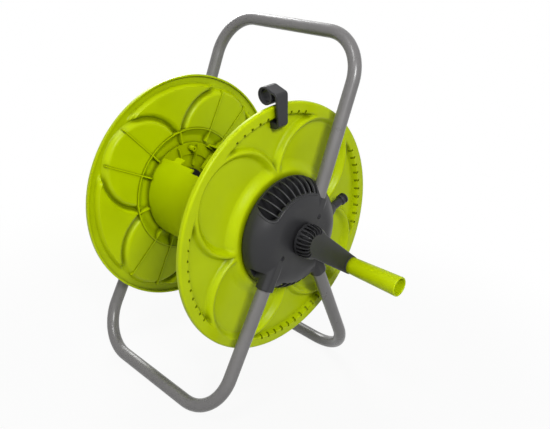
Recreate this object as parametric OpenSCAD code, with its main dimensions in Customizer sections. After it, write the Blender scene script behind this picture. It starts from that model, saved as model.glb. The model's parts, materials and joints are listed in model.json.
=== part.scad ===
// Free-standing garden hose reel: two pressed flanges on a drum, turned by a
// crank between two hub brackets, on a stand of three bent tubes.
// Millimetres. +X runs along the axle to the crank, +Z is up, and the origin
// is on the ground under the middle of the whole object.

/* [Reel] */
// Diameter of the two flanges
flange_d = 380; // [364:1:400]
// Width over the outer faces of the flanges
reel_w = 232; // [200:1:270]
// Wall of the flange mouldings
flange_wall = 2.6; // [2:0.1:3.2]
// Depth of the rolled edge round a flange
rim_depth = 7; // [6:0.5:9]
// Diameter of the drum that the hose winds on
drum_d = 164; // [150:1:172]
// Wall of the drum
drum_wall = 2.6; // [2:0.1:4]
// Turn of the reel in the stand
reel_turn = 0; // [-180:1:180]

/* [Flange relief] */
// Depth of the relief in a flange
relief = 9; // [7:0.5:11]
// Radius of the floor of a petal
petal_r = 65; // [60:0.5:67]
// From the floor of a petal to the edge of the flange
petal_edge = 20; // [18:0.5:24]
// Angle of the first petal from the top
petal_turn = 30; // [0:1:90]
// Width of the ridge round a petal, at its foot
ridge_w = 17; // [15:0.5:20]
// Slope of the relief's sides, measured across
draft = 5; // [3:0.5:6]
// Width of the sloping side of the hub ring
hub_slope = 16; // [12:0.5:18]
// Width of the flat band round the edge
rim_band = 16; // [14:0.5:18]
// Stiffening ribs stand this far from the middle line of a petal, in degrees
rib_spread = 10; // [6:0.5:14]
// Thickness of a stiffening rib
rib_t = 2; // [1.4:0.1:3]
// Notches in the step of the rim, between two petals
notch_count = 10; // [6:1:12]
// Angle between two notches
notch_step = 4.85; // [4:0.05:4.9]
// Width of a notch
notch_w = 3.6; // [3:0.1:5]
// Depth of a notch
notch_depth = 1.7; // [1:0.1:1.8]

/* [Hose entry] */
// Direction of the hose tail from the top
entry_turn = -33; // [-36:1:-30]
// Near edge of the window in the drum, from the top
entry_near = -43; // [-46:1:-40]
// Far edge of the window
entry_far = 26; // [20:1:34]
// End of the window, from the middle of the drum
entry_end = 15; // [5:1:25]
// Place of the tongue along the drum
tongue_x = -80; // [-84:1:-76]
// Width of the tongue
tongue_w = 18; // [14:1:20]
// Angle that the tongue stands into the window
tongue_turn = 23; // [16:1:26]

/* [Stand] */
// Diameter of the tubes
tube_d = 20; // [18:0.5:22]
// Wall of the tubes
tube_wall = 1.2; // [1:0.1:2]
// Height of the axle above the ground
axle_h = 269; // [250:1:320]
// Front bar, forward of the axle
front_reach = 136; // [110:1:170]
// Rear bar, behind the axle
rear_reach = 171; // [140:1:200]
// Top bar of the handle above the axle
handle_h = 282; // [250:1:330]
// Top bar of the handle, behind the axle
handle_lean = 95; // [60:1:120]
// Handle legs pass beside the axle by
handle_side = 19; // [17:0.5:22]
// Front legs pass beside the axle by
front_side = 30; // [27:0.5:32]
// Rear legs pass beside the axle by
rear_side = -13; // [-15:0.5:-11]
// Bend radius of the handle
handle_bend = 66; // [50:1:80]
// Bend radius of the front leg
front_bend = 67; // [50:1:80]
// Bend radius of the rear leg
rear_bend = 78; // [60:1:90]
// Inner ends of the tubes, from the point nearest the axle
tube_inset = 25; // [24:0.5:28]
// Lock screws of the tubes, from the same point
lock_at = 35; // [33:0.5:40]

/* [Hub brackets] */
// Diameter of a bracket
cover_d = 171; // [166:1:178]
// Depth of a bracket
cover_depth = 39.5; // [38.5:0.5:44]
// Diameter of the flat front of a bracket
cover_flat_d = 100; // [92:1:104]
// Depth of the rounded shoulder
cover_shoulder = 32; // [28:0.5:34]
// Wall of a bracket
cover_wall = 3; // [2.4:0.1:3.4]
// Back plate thickness
plate_t = 3; // [2.6:0.1:4]
// Gap between a flange and a bracket
hub_gap = 2.5; // [2.2:0.1:3.5]
// Skin of the bracket over the tubes
tube_skin = 1.7; // [1.2:0.1:2.2]
// Wall of the tube sockets
socket_wall = 3; // [2.4:0.1:3.5]
// Pitch of the grille bars, in degrees
grille_step = 8.5; // [8:0.1:9]
// Width of a grille bar
grille_bar = 2.6; // [2:0.1:3.2]
// Inner radius of the grille
grille_r = 67.5; // [66:0.5:70]
// Start of the upper grille, from the top
grille_from = -61; // [-63:0.5:-60]
// Openings in the upper grille
grille_count = 9; // [6:1:9]

/* [Axle] */
// Diameter of the axles
axle_d = 20; // [18:0.5:21]
// Bore of the water axle
water_bore = 10; // [7:0.5:10.5]
// Diameter of the axle flanges
axle_flange_d = 68; // [60:1:76]
// Thickness of the axle flanges
axle_flange_t = 4; // [3:0.5:6]
// Wall of the bushes
bush_wall = 3; // [2.4:0.1:3.6]
// Diameter of the water manifold
manifold_d = 40; // [38:0.5:42]
// Running clearance of the axles, on the radius
run_fit = 0.05; // [0.02:0.01:0.09]
// Clearance of pieces that are fixed together
seat_fit = 0.1; // [0.05:0.05:0.2]

/* [Water inlet] */
// Direction of the inlet from the top
inlet_turn = 67; // [60:1:74]
// The inlet passes beside the axle by
inlet_side = 12.2; // [11.5:0.1:13]
// Outside diameter of the inlet pipe in the bracket
inlet_d = 10.4; // [9:0.2:11]
// Bore of the inlet
inlet_bore = 6; // [5:0.1:6.4]
// End of the inlet nipple, along its direction
inlet_reach = 122; // [112:1:130]
// Diameter of the nipple's stem
nipple_d = 13; // [12:0.5:14]
// Diameter of the nipple's collars
nipple_collar_d = 17; // [16:0.5:18]

/* [Crank] */
// From the axle to the grip
crank_reach = 102; // [90:1:130]
// Direction of the crank from the top
crank_turn = 121; // [0:1:359]
// Diameter of the crank's hub at its foot
crank_hub_d = 50; // [46:1:54]
// Diameter of the crank's flat front
crank_flat_d = 39; // [37:1:42]
// Depth of the crank
crank_depth = 23; // [20:0.5:26]
// Diameter of the sleeve that holds the grip
sleeve_d = 29; // [28:0.5:32]
// Fan slots in the crank's hub
fan_count = 11; // [7:1:12]
// Length of the grip
grip_len = 92; // [80:1:110]
// Diameter of the grip at its foot
grip_d0 = 26.4; // [25:0.2:27]
// Diameter of the grip at its open end
grip_d1 = 30.4; // [28:0.2:32]
// Wall of the grip
grip_wall = 2.6; // [2:0.1:3.2]
// Diameter of the spindle in the grip
spindle_d = 10; // [8:0.5:12]

/* [Hose clip] */
// Angle of the clip on the rim
clip_turn = -11; // [-16:1:-5]
// Width of the clip's strap
clip_w = 21.5; // [18:0.5:24]
// Thickness of the strap
clip_t = 4; // [3:0.1:4.4]
// Strap's face beyond the flange
clip_stand = 8.3; // [7.6:0.1:9]
// Top of the clip above the edge of the flange
clip_rise = 25.5; // [22:0.5:30]
// Diameter of the ring
clip_ring_d = 26; // [24:0.5:28]
// Bore of the ring
clip_bore = 19; // [17:0.5:20]

/* [Hidden] */
$fn = 96;
lime = [0.68, 0.77, 0.04];
charcoal = [0.2, 0.2, 0.21];
tube_grey = [0.5, 0.5, 0.5];
steel = [0.72, 0.72, 0.72];
acetal = [0.86, 0.84, 0.78];
rubber = [0.08, 0.08, 0.08];
eps = 0.5;

// Flange planes, for the flange on the crank side
flange_r = flange_d / 2;
face_x = reel_w / 2;
floor_x = face_x - relief;
back_x = floor_x - flange_wall;
skin_x = face_x - flange_wall;
petal_c = flange_r - petal_edge - petal_r;
drum_r = drum_d / 2;
hub_top_r = drum_r + 8;
hub_foot_r = hub_top_r + hub_slope;
side_wall = flange_wall * 1.15;
hub_wall = flange_wall * norm([1, hub_slope / relief]);
rim_top_r = flange_r - rim_band;
rim_foot_r = rim_top_r - draft + 1;
rim_round = 3;
notch_over = 3.8;
rib_proud = 1.5;

// Screws
screw_r = 1.5;
screw_head_r = 3.4;
screw_head_t = 1.6;
screw_len = 15;
flange_screw_r = drum_r - 12;
flange_screw_n = 6;
axle_screw_r = 26;
axle_screw_n = 4;
boss_r = 4.5;
drum_end_x = back_x + 1;
drum_step = 3.5;
drum_ring_t = 3;
drum_ring_r = flange_screw_r - 25;
ring_rib_h = 5.5;

// Bracket planes, for the bracket on the crank side
cover_r = cover_d / 2;
cover_back_x = face_x + hub_gap;
cover_front_x = cover_back_x + cover_depth;
shoulder_x = cover_front_x - cover_shoulder;
plate_x = cover_back_x + plate_t;
tube_r = tube_d / 2;
tube_x = cover_front_x - tube_skin - tube_r;
socket_r = tube_r + socket_wall;
recess_x = tube_x - 10;
recess_at = cover_r * 0.75;
recess_w = 24;
plate_screw_n = 3;
plate_screw_r = cover_r - 22.5;
plate_screw_turn = 54;
front_hole_r = 15;
cover_edge = 1.5;
grille_foot_x = cover_back_x + 5.5;
low_grille_r = cover_r - 7;
low_grille_from = 152.75;
low_grille_count = 5;

// Axle, bearings and water path
axle_r = axle_d / 2;
bush_r = axle_r + bush_wall;
bush_flange_r = bush_r + 4;
thrust_gap = 0.3;
manifold_r = manifold_d / 2;
manifold_x = plate_x + 0.4;
manifold_end = cover_front_x - 8;
collar_r = manifold_r + 3;
collar_x = tube_x - 8;
inlet_x = tube_x - tube_r - inlet_d / 2 - 0.1;
water_groove_r = axle_r + 4.5;
water_groove_w = inlet_bore + 1.2;
cross_bore = water_bore * 0.46;
seal_off = 6.5;
seal_r = 1.2;
seal_groove_w = 2.8;
drive_w = axle_d * 0.68;
drive_x = manifold_end + 1;
outlet_x = entry_end - 31;
outlet_bore = 9;
outlet_r = 7;
outlet_end = drum_r - 14;
elbow_socket = 14;
elbow_r = axle_r + 3;
thread_r = outlet_r + 1.2;
nut_foot = elbow_r + 8;
nut_h = 13;
nut_r = outlet_r + 6;
axle_inner_x = outlet_x + 12;

// Crank and grip
crank_x = cover_front_x + 3;
crank_front_x = crank_x + crank_depth;
crank_boss_r = front_hole_r - 1;
crank_boss_x = drive_x + 0.5;
drive_end_x = crank_front_x - 8;
crank_wall = 2.6;
sleeve_r = sleeve_d / 2;
sleeve_x = crank_x + 4;
sleeve_end_x = crank_front_x + 1;
grip_x = sleeve_end_x - 3;
grip_end_x = grip_x + grip_len;
grip_hub_x = grip_x + 46;
spindle_r = spindle_d / 2;
spindle_end_x = grip_hub_x + thrust_gap;
crank_base = 6;
fan_step = 15;
fan_w = 3.4;
pin_r = 2;
pin_x = cover_front_x - 2;

// Hose clip
clip_out_x = face_x + clip_stand;
clip_in_x = clip_out_x - clip_t;
clip_top_r = flange_r + clip_rise;
clip_bend_r = clip_top_r - 8;
clip_ring_x = face_x - 15.5;
clip_foot_r = rim_foot_r - 12.5;
clip_peg_r = clip_foot_r + 5.5;
peg_r = 2.5;

// Inlet and bracket details
nipple_r = nipple_collar_d / 2;
nipple_groove_r = nipple_r - 2 * seal_r - 2 * seat_fit;
neck_end = cover_r + 7.2;
spigot_r = inlet_d / 2 - 1;
lock_head_x = tube_x + tube_r + seat_fit;
saddle_w = 16;
saddle_len = 30;

// Place of the reel's axis in the part's own frame
mid_x = (grip_end_x - max(cover_front_x, lock_head_x + screw_head_t)) / 2;

// Height of a leg's bar along its own direction, and that direction
function leg_turn(y, z, side) = atan2(y, z) - asin(side / norm([y, z]));
function leg_reach(y, z, side) = sqrt(y * y + z * z - side * side);
function between(a, b, k) = a + (b - a) * k;

// Each leg: direction, offset beside the axle, end of its socket, reach of its bar, bend radius
foot_z = tube_r - axle_h;
legs = [
    [leg_turn(handle_lean, handle_h, handle_side), handle_side, cover_r - 23,
        leg_reach(handle_lean, handle_h, handle_side), handle_bend],
    [leg_turn(-front_reach, foot_z, front_side), front_side, cover_r + 1,
        leg_reach(front_reach, foot_z, front_side), front_bend],
    [leg_turn(rear_reach, foot_z, rear_side), rear_side, cover_r + 1.5,
        leg_reach(rear_reach, foot_z, rear_side), rear_bend]];

module place() translate([-mid_x, 0, axle_h]) children();
module reel_place() place() rotate([-reel_turn, 0, 0]) children();
module both_sides() {
    children();
    mirror([1, 0, 0]) children();
}
// A rod along X from x0
module rod(x0, len, r) translate([x0, 0, 0]) rotate([0, 90, 0]) cylinder(h = len, r = r);
module cone(x0, x1, r0, r1) translate([x0, 0, 0]) rotate([0, 90, 0]) cylinder(h = x1 - x0, r1 = r0, r2 = r1);
// A profile drawn as (radius, x), turned round the axle
module turned() rotate([0, 90, 0]) rotate_extrude() children();
// What is drawn up the Z axis points to an angle from the top instead
module spoke(a, r = 0) rotate([-a, 0, 0]) translate([0, 0, r]) children();

// Relief of a flange
function pit_r(foot, top, x) = foot + (top - foot) * (x - floor_x) / relief;
module pit(foot, top, x0, x1, grow = 0)
    cone(x0, x1, pit_r(foot, top, x0) + grow, pit_r(foot, top, x1) + grow);
module petals(foot, top, x0, x1, grow = 0)
    for (k = [0:3]) spoke(petal_turn + 90 * k, petal_c) pit(foot, top, x0, x1, grow);
// Petal hollows: the floor circles less the hub ring
module petal_hollow(x0, x1, side, hub) difference() {
    petals(petal_r, petal_r + draft, x0, x1, side);
    pit(hub_foot_r, hub_top_r, x0 - eps, x1 + eps, -hub);
}
// Hollows between the petals, from the hub ring out to the rim band
module corner_hollow(x0, x1, side, hub) difference() {
    pit(rim_foot_r, rim_top_r, x0, x1, side);
    petals(petal_r + ridge_w, petal_r + ridge_w - draft, x0 - eps, x1 + eps, -side);
    pit(hub_foot_r, hub_top_r, x0 - eps, x1 + eps, -hub);
}
module flange_section() {
    translate([0, skin_x]) square([flange_r - rim_round, flange_wall]);
    translate([flange_r - rim_round, face_x - rim_round]) circle(r = rim_round);
    translate([flange_r - flange_wall, face_x - rim_depth]) square([flange_wall, rim_depth - rim_round]);
}
module rib(a, r0, r1) spoke(a, r0)
    translate([back_x - rib_proud, -rib_t / 2, 0]) cube([skin_x - back_x + rib_proud + eps / 2, rib_t, r1 - r0]);
module flange_ribs() for (k = [0:3]) {
    for (s = [-1, 1]) rib(petal_turn + 90 * k + s * rib_spread, drum_r + 1, rim_foot_r);
    rib(petal_turn + 45 + 90 * k, drum_r + 1, hub_foot_r - hub_wall + eps);
}
module rim_notches() intersection() {
    let (foot = rim_foot_r + notch_depth, top = rim_top_r + notch_depth, x0 = floor_x + eps, x1 = face_x - notch_depth)
        turned() polygon([[foot - 8, x0], [pit_r(foot, top, x0), x0], [pit_r(foot, top, x1), x1],
            [rim_top_r + notch_over, x1], [rim_top_r + notch_over, face_x + eps], [foot - 8, face_x + eps]]);
    for (k = [0:3], i = [0:notch_count - 1])
        spoke(petal_turn + 45 + 90 * k + (i - (notch_count - 1) / 2) * notch_step, rim_foot_r - 2)
            translate([floor_x, -notch_w / 2, 0]) cube([relief + 2 * eps, notch_w, rim_band]);
}
module ring_of(n, r, turn = 0) for (k = [0:n - 1]) spoke(turn + 360 * k / n, r) children();

module flange(clip) difference() {
    union() {
        turned() flange_section();
        petal_hollow(back_x, skin_x + eps, side_wall, hub_wall);
        corner_hollow(back_x, skin_x + eps, side_wall, hub_wall);
        flange_ribs();
    }
    petal_hollow(floor_x, face_x + eps, 0, 0);
    corner_hollow(floor_x, face_x + eps, 0, 0);
    rim_notches();
    rod(skin_x - eps, flange_wall + 2 * eps, axle_r + seat_fit);
    ring_of(flange_screw_n, flange_screw_r) rod(skin_x - eps, flange_wall + 2 * eps, screw_r + seat_fit);
    ring_of(axle_screw_n, axle_screw_r) rod(skin_x - eps, flange_wall + 2 * eps, screw_r + seat_fit);
    if (clip) spoke(clip_turn, clip_peg_r) rod(back_x - eps, flange_wall + 2 * eps, peg_r + seat_fit);
}

module right_flange() color(lime) reel_place() flange(true);
module left_flange() color(lime) reel_place() mirror([1, 0, 0]) flange(false);

// Drum with its end rings, screw bosses and the window that the hose comes out of
module drum_sector(x0, x1, a0, a1) let (far = drum_r + 6, half = far * tan((a1 - a0) / 2))
    spoke((a0 + a1) / 2) flat_x(x0, x1 - x0) polygon([[0, 0], [far, half], [far, -half]]);
module hose_entry() difference() {
    drum_sector(drum_ring_t + 2 - skin_x, entry_end, entry_near, entry_far);
    drum_sector(tongue_x, tongue_x + tongue_w, entry_near - 5, entry_near + tongue_turn);
    rod(-skin_x, 2 * skin_x, flange_screw_r + boss_r + 0.5);
}
module hose_entry_step() difference() {
    drum_sector(entry_end - 45, entry_end - 23, entry_near - 5, entry_far - 10);
    rod(-skin_x, 2 * skin_x, flange_screw_r + boss_r + 0.5);
}
module ring_ribs() both_sides() ring_of(2 * flange_screw_n, drum_ring_r + 1, 90 / flange_screw_n)
    translate([skin_x - drum_ring_t - ring_rib_h, -rib_t / 2, 0])
        cube([ring_rib_h + 1, rib_t, drum_r - drum_step - drum_ring_r - 1.5]);
module drum_core() color(lime) reel_place() difference() {
    union() {
        difference() {
            union() {
                rod(-skin_x, 2 * skin_x, drum_r - drum_step);
                rod(-drum_end_x, 2 * drum_end_x, drum_r);
            }
            rod(drum_wall - drum_end_x, 2 * (drum_end_x - drum_wall), drum_r - drum_wall);
            rod(drum_ring_t - skin_x, 2 * (skin_x - drum_ring_t), drum_r - drum_step - drum_wall);
            rod(-skin_x - eps, 2 * (skin_x + eps), drum_ring_r);
        }
        both_sides() ring_of(flange_screw_n, flange_screw_r) rod(skin_x - screw_len, screw_len - eps, boss_r);
        ring_ribs();
    }
    both_sides() ring_of(flange_screw_n, flange_screw_r)
        rod(skin_x - screw_len - eps, screw_len + 2 * eps, screw_r + seat_fit);
    hose_entry();
    hose_entry_step();
}

// Axles
module axle_flange() difference() {
    rod(skin_x - axle_flange_t, axle_flange_t, axle_flange_d / 2);
    ring_of(axle_screw_n, axle_screw_r)
        rod(skin_x - axle_flange_t - eps, axle_flange_t + 2 * eps, screw_r + seat_fit);
}
module seal_groove(x) difference() {
    rod(x - seal_groove_w / 2, seal_groove_w, axle_r + eps);
    rod(x - seal_groove_w, 2 * seal_groove_w, axle_r - run_fit - 2 * seal_r - seat_fit);
}
module water_axle() color(charcoal) reel_place() difference() {
    union() {
        axle_flange();
        rod(axle_inner_x, drive_x - axle_inner_x, axle_r);
        spoke(crank_turn) translate([drive_x - eps, -drive_w / 2, -drive_w / 2])
            cube([drive_end_x - drive_x + eps, drive_w, drive_w]);
    }
    rod(axle_inner_x - eps, inlet_x + water_groove_w / 2 - axle_inner_x, water_bore / 2);
    ring_of(4, water_bore / 4) translate([inlet_x, 0, 0]) cylinder(h = axle_r, r = cross_bore / 2);
    for (s = [-1, 1]) seal_groove(inlet_x + s * seal_off);
    spoke(crank_turn) pin_hole();
}
module pin_hole() translate([pin_x, 0, 0]) cylinder(h = 3 * crank_boss_r, r = pin_r + seat_fit, center = true);
module stub_axle() color(charcoal) reel_place() mirror([1, 0, 0]) union() {
    axle_flange();
    rod(skin_x - eps, manifold_end - 2 - skin_x + eps, axle_r);
}
module axle_seals() color(rubber) reel_place() for (s = [-1, 1])
    turned() translate([axle_r - run_fit / 2 - seal_r, inlet_x + s * seal_off]) circle(r = seal_r, $fn = 48);

// Elbow on the inner end of the water axle, with the hose tail that points at the entry
module outlet_elbow() color(charcoal) reel_place() difference() {
    union() {
        rod(outlet_x - elbow_r, axle_inner_x + elbow_socket - outlet_x + elbow_r, elbow_r);
        spoke(entry_turn) translate([outlet_x, 0, 0]) {
            cylinder(h = outlet_end, r = outlet_r);
            cylinder(h = nut_foot + nut_h + 1, r = thread_r);
            cylinder(h = nut_foot - 2, r = thread_r + 2);
        }
    }
    rod(axle_inner_x, elbow_socket + eps, axle_r + seat_fit);
    rod(outlet_x - 2, axle_inner_x - outlet_x + 2 + eps, water_bore / 2);
    spoke(entry_turn) translate([outlet_x, 0, 0]) cylinder(h = outlet_end + eps, r = outlet_bore / 2);
}
module outlet_nut() color(charcoal) reel_place() spoke(entry_turn, nut_foot) translate([outlet_x, 0, 0])
    difference() {
        union() {
            cylinder(h = nut_h, r = nut_r);
            for (k = [0:11]) rotate([0, 0, 30 * k]) translate([nut_r - 1, -1, 0]) cube([2, 2, nut_h]);
        }
        translate([0, 0, -eps]) cylinder(h = nut_h + 2 * eps, r = thread_r + seat_fit);
    }

// Screws that hold the flanges to the drum and to the axles
module face_screw(len) {
    rod(face_x, screw_head_t, screw_head_r);
    rod(face_x - len, len + eps, screw_r);
}
module flange_screws() color(steel) reel_place()
    both_sides() ring_of(flange_screw_n, flange_screw_r) face_screw(screw_len);
module axle_screws() color(steel) reel_place()
    both_sides() ring_of(axle_screw_n, axle_screw_r) face_screw(flange_wall + axle_flange_t);

// Crank, drawn with its arm up the Z axis
module flat_x(x0, len) translate([x0, 0, 0]) rotate([180, 0, 0]) rotate([0, 90, 0]) linear_extrude(len) children();
module crank_outline() {
    polygon([[0, crank_flat_d / 2], [crank_reach, sleeve_r], [crank_reach, -sleeve_r], [0, -crank_flat_d / 2]]);
    translate([crank_reach, 0]) circle(r = sleeve_r);
}
module crank_pocket_outline() let (far = crank_reach - sleeve_r, near = crank_hub_d / 2 - 4)
    polygon([[near, crank_flat_d / 2 - 2 * crank_wall], [far, sleeve_r - crank_wall],
        [far, crank_wall - sleeve_r], [near, 2 * crank_wall - crank_flat_d / 2]]);
module crank_dome(wall) let (foot = crank_hub_d / 2 - wall, top = crank_flat_d / 2 - wall) turned()
    polygon(concat([[0, crank_x - wall], [foot, crank_x - wall]],
        [for (k = [0:6]) [between(top, foot, cos(15 * k)), crank_x + crank_base + (crank_depth - crank_base - wall) * sin(15 * k)]],
        [[0, crank_front_x - wall]]));
module fan_slots() for (k = [0:fan_count - 1])
    spoke(180 + (k - (fan_count - 1) / 2) * fan_step, crank_boss_r + 1.5)
        translate([crank_x + crank_base, -fan_w / 2, 0]) cube([crank_depth, fan_w, crank_hub_d / 2]);
module crank_arm() color(charcoal) reel_place() spoke(crank_turn) difference() {
    union() {
        difference() {
            union() {
                crank_dome(0);
                flat_x(sleeve_x, crank_front_x - sleeve_x) crank_outline();
            }
            crank_dome(crank_wall);
            flat_x(crank_x, crank_depth - crank_wall) crank_pocket_outline();
            fan_slots();
        }
        translate([0, 0, crank_reach]) rod(sleeve_x, sleeve_end_x - sleeve_x, sleeve_r);
        rod(crank_boss_x, crank_front_x - crank_boss_x, crank_boss_r);
    }
    translate([crank_boss_x - eps, -drive_w / 2 - seat_fit, -drive_w / 2 - seat_fit])
        cube([drive_end_x + eps - crank_boss_x + eps, drive_w + 2 * seat_fit, drive_w + 2 * seat_fit]);
    pin_hole();
    translate([0, 0, crank_reach]) {
        rod(sleeve_x - eps, crank_depth, spindle_r + seat_fit);
        rod(grip_x - thrust_gap, crank_depth, grip_d0 / 2 + 0.4);
    }
}
module crank_pin() color(steel) reel_place() spoke(crank_turn) translate([pin_x, 0, 0])
    cylinder(h = 2 * crank_boss_r - 1, r = pin_r, center = true);

// Grip, turning on its spindle and held by a retainer inside its open end
module grip_place() reel_place() spoke(crank_turn, crank_reach) children();
module grip_spindle() color(steel) grip_place() rod(sleeve_x, spindle_end_x - sleeve_x, spindle_r);
module grip_retainer() color(steel) grip_place() {
    rod(spindle_end_x, 2, spindle_r + 3.5);
    rod(spindle_end_x + 2 - eps, 3, spindle_r - 1);
}
module crank_grip() color(lime) grip_place() difference() {
    cone(grip_x, grip_end_x, grip_d0 / 2, grip_d1 / 2);
    rod(grip_x - eps, grip_len, spindle_r + run_fit);
    cone(grip_hub_x, grip_end_x + eps, grip_d0 / 2 - grip_wall + 1, grip_d1 / 2 - grip_wall);
}

// Clip for the free end of the hose: a foot, a strap over the rim and a ring
module clip_section() {
    polygon([[floor_x, clip_foot_r], [clip_in_x - 2, clip_foot_r - 0.8], [clip_out_x - 1.3, clip_foot_r + 3],
        [clip_out_x, clip_foot_r + 10], [clip_out_x, flange_r + 2], [clip_out_x - 2.5, clip_bend_r - 2.5],
        [clip_out_x - 4.5, clip_bend_r], [clip_ring_x + 1, clip_top_r], [clip_ring_x + 1, clip_top_r - clip_t],
        [clip_in_x - 3, clip_bend_r - clip_t + 0.8], [clip_in_x - 0.5, flange_r + 2], [clip_in_x, clip_foot_r + 14],
        [clip_in_x - 2, clip_foot_r + 11], [floor_x, clip_foot_r + 11]]);
    translate([clip_ring_x, clip_top_r - clip_ring_d / 2]) circle(d = clip_ring_d);
}
module hose_clip() color(charcoal) reel_place() spoke(clip_turn) {
    difference() {
        rotate([90, 0, 0]) linear_extrude(clip_w, center = true) clip_section();
        translate([clip_ring_x, 0, clip_top_r - clip_ring_d / 2]) rotate([90, 0, 0]) {
            cylinder(h = clip_w + 2 * eps, d = clip_bore, center = true);
            for (s = [-1, 1]) translate([0, 0, s * clip_w / 2]) cylinder(h = 5, d = clip_bore + 3, center = true);
        }
    }
    translate([0, 0, clip_peg_r]) {
        rod(back_x - 2, relief / 2 + flange_wall + 2, peg_r);
        rod(back_x - 2, 2, peg_r + 1);
    }
}

// Hub brackets, drawn on the crank side
module at_leg(leg) spoke(leg[0]) translate([0, leg[1], 0]) children();
module at_inlet(r = 0) spoke(inlet_turn) translate([inlet_x, inlet_side, r]) children();
module tube_bores() for (leg = legs) at_leg(leg)
    translate([tube_x, 0, tube_inset]) cylinder(h = flange_r, r = tube_r + seat_fit);
module dome(wall) turned() polygon(concat(
    [[0, cover_back_x - wall], [cover_r - cover_edge - wall, cover_back_x - wall],
        [cover_r - wall, cover_back_x - wall + 2 * cover_edge]],
    [for (k = [0:10]) [between(cover_flat_d / 2, cover_r - wall, cos(9 * k)), shoulder_x + (cover_shoulder - wall) * sin(9 * k)]],
    [[0, cover_front_x - wall]]));
// An opening between two bars that stand at angles a0 and a1
module grille_slot(a0, a1, r0) let (half = tan((a1 - a0) / 2), r1 = cover_r + eps, bar = grille_bar / 2)
    spoke((a0 + a1) / 2) flat_x(grille_foot_x, cover_depth) polygon([
        [r0, r0 * half - bar], [r1, r1 * half - bar], [r1, bar - r1 * half], [r0, bar - r0 * half]]);
module grille(from, count, r0) for (k = [0:count - 1])
    grille_slot(from + k * grille_step, from + (k + 1) * grille_step, r0);
// Recess in the rim beside the front leg
module recess(grow) at_leg(legs[1])
    translate([recess_x - grow, socket_r - 1 - grow, recess_at - grow]) cube([cover_depth, recess_w + 2 * grow, cover_r]);
module bracket_cover(inlet) difference() {
    union() {
        difference() {
            dome(0);
            dome(cover_wall);
        }
        intersection() {
            for (leg = legs) at_leg(leg) translate([tube_x, 0, tube_inset - socket_wall])
                cylinder(h = leg[2] - tube_inset + socket_wall, r = socket_r);
            rod(cover_back_x, cover_depth, flange_r);
        }
        intersection() {
            ring_of(plate_screw_n, plate_screw_r, plate_screw_turn) rod(plate_x, cover_depth, boss_r);
            dome(0);
        }
        rod(collar_x, cover_front_x - collar_x - eps, collar_r);
        intersection() {
            recess(cover_wall);
            dome(1);
        }
        if (inlet) difference() {
            at_inlet(cover_r - 13) cylinder(h = 20, r1 = inlet_d / 2 + 8, r2 = nipple_d / 2 + 1.5);
            dome(cover_wall);
        }
    }
    tube_bores();
    rod(plate_x - eps, manifold_end + seat_fit - plate_x + eps, manifold_r + seat_fit);
    if (inlet) {
        rod(manifold_end - eps, cover_front_x - manifold_end + 2 * eps, front_hole_r);
        at_inlet() cylinder(h = cover_r + 20, r = inlet_d / 2 + seat_fit);
    }
    ring_of(plate_screw_n, plate_screw_r, plate_screw_turn) rod(cover_back_x - eps, screw_len + 2 * eps, screw_r + seat_fit);
    for (leg = legs) at_leg(leg) translate([0, 0, lock_at]) rod(tube_x, cover_depth, screw_head_r + 2 * seat_fit);
    grille(grille_from, grille_count, grille_r);
    grille_slot(grille_from + grille_count * grille_step, grille_from + (grille_count + 0.6) * grille_step, grille_r);
    grille(low_grille_from, low_grille_count, low_grille_r);
    recess(0);
}
module right_cover() color(charcoal) place() bracket_cover(true);
module left_cover() color(charcoal) place() mirror([1, 0, 0]) bracket_cover(false);

// Back plates, with saddles under the tubes
module bracket_plate() difference() {
    union() {
        rod(cover_back_x, plate_t, cover_r - cover_wall - seat_fit);
        for (leg = legs) at_leg(leg) translate([plate_x - eps, -saddle_w / 2, tube_inset + 2])
            cube([tube_x - tube_r - plate_x + eps, saddle_w, saddle_len]);
    }
    for (leg = legs) at_leg(leg) translate([tube_x, 0, 0]) cylinder(h = cover_d, r = socket_r + seat_fit);
    rod(cover_back_x - eps, cover_depth, bush_r + seat_fit);
    rod(plate_x, cover_depth, collar_r + seat_fit);
    at_inlet() cylinder(h = cover_r, r = inlet_d / 2 + 0.4);
    ring_of(plate_screw_n, plate_screw_r, plate_screw_turn) {
        rod(cover_back_x - eps, plate_t + 2 * eps, screw_r + seat_fit);
        rod(cover_back_x - eps, screw_head_t + eps, screw_head_r + seat_fit);
    }
}
module right_plate() color(charcoal) place() bracket_plate();
module left_plate() color(charcoal) place() mirror([1, 0, 0]) bracket_plate();
module cover_screws() color(steel) place() both_sides() ring_of(plate_screw_n, plate_screw_r, plate_screw_turn) {
    rod(cover_back_x, screw_head_t, screw_head_r);
    rod(cover_back_x, screw_len, screw_r);
}
module tube_screws() color(steel) place() both_sides() for (leg = legs) at_leg(leg) translate([0, 0, lock_at]) {
    rod(lock_head_x, screw_head_t, screw_head_r);
    rod(tube_x + 2, lock_head_x - tube_x - 2 + eps, screw_r);
}

// Bearings and the water inlet
module bush() difference() {
    union() {
        rod(face_x + thrust_gap, plate_x + 0.2 - face_x - thrust_gap, bush_r);
        rod(face_x + thrust_gap, hub_gap - thrust_gap, bush_flange_r);
    }
    rod(face_x, cover_depth, axle_r + run_fit);
}
module right_bush() color(acetal) place() bush();
module left_bush() color(acetal) place() mirror([1, 0, 0]) bush();
module inlet_manifold() color(charcoal) place() difference() {
    union() {
        rod(manifold_x, manifold_end - manifold_x, manifold_r);
        at_inlet(manifold_r / 3) cylinder(h = neck_end - manifold_r / 3, r = inlet_d / 2);
    }
    rod(manifold_x - eps, manifold_end - manifold_x + 2 * eps, axle_r + run_fit);
    rod(inlet_x - water_groove_w / 2, water_groove_w, water_groove_r);
    at_inlet(1) cylinder(h = neck_end, r = inlet_bore / 2);
    at_inlet(neck_end - 8) cylinder(h = 8 + eps, r = spigot_r + seat_fit);
}
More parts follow.
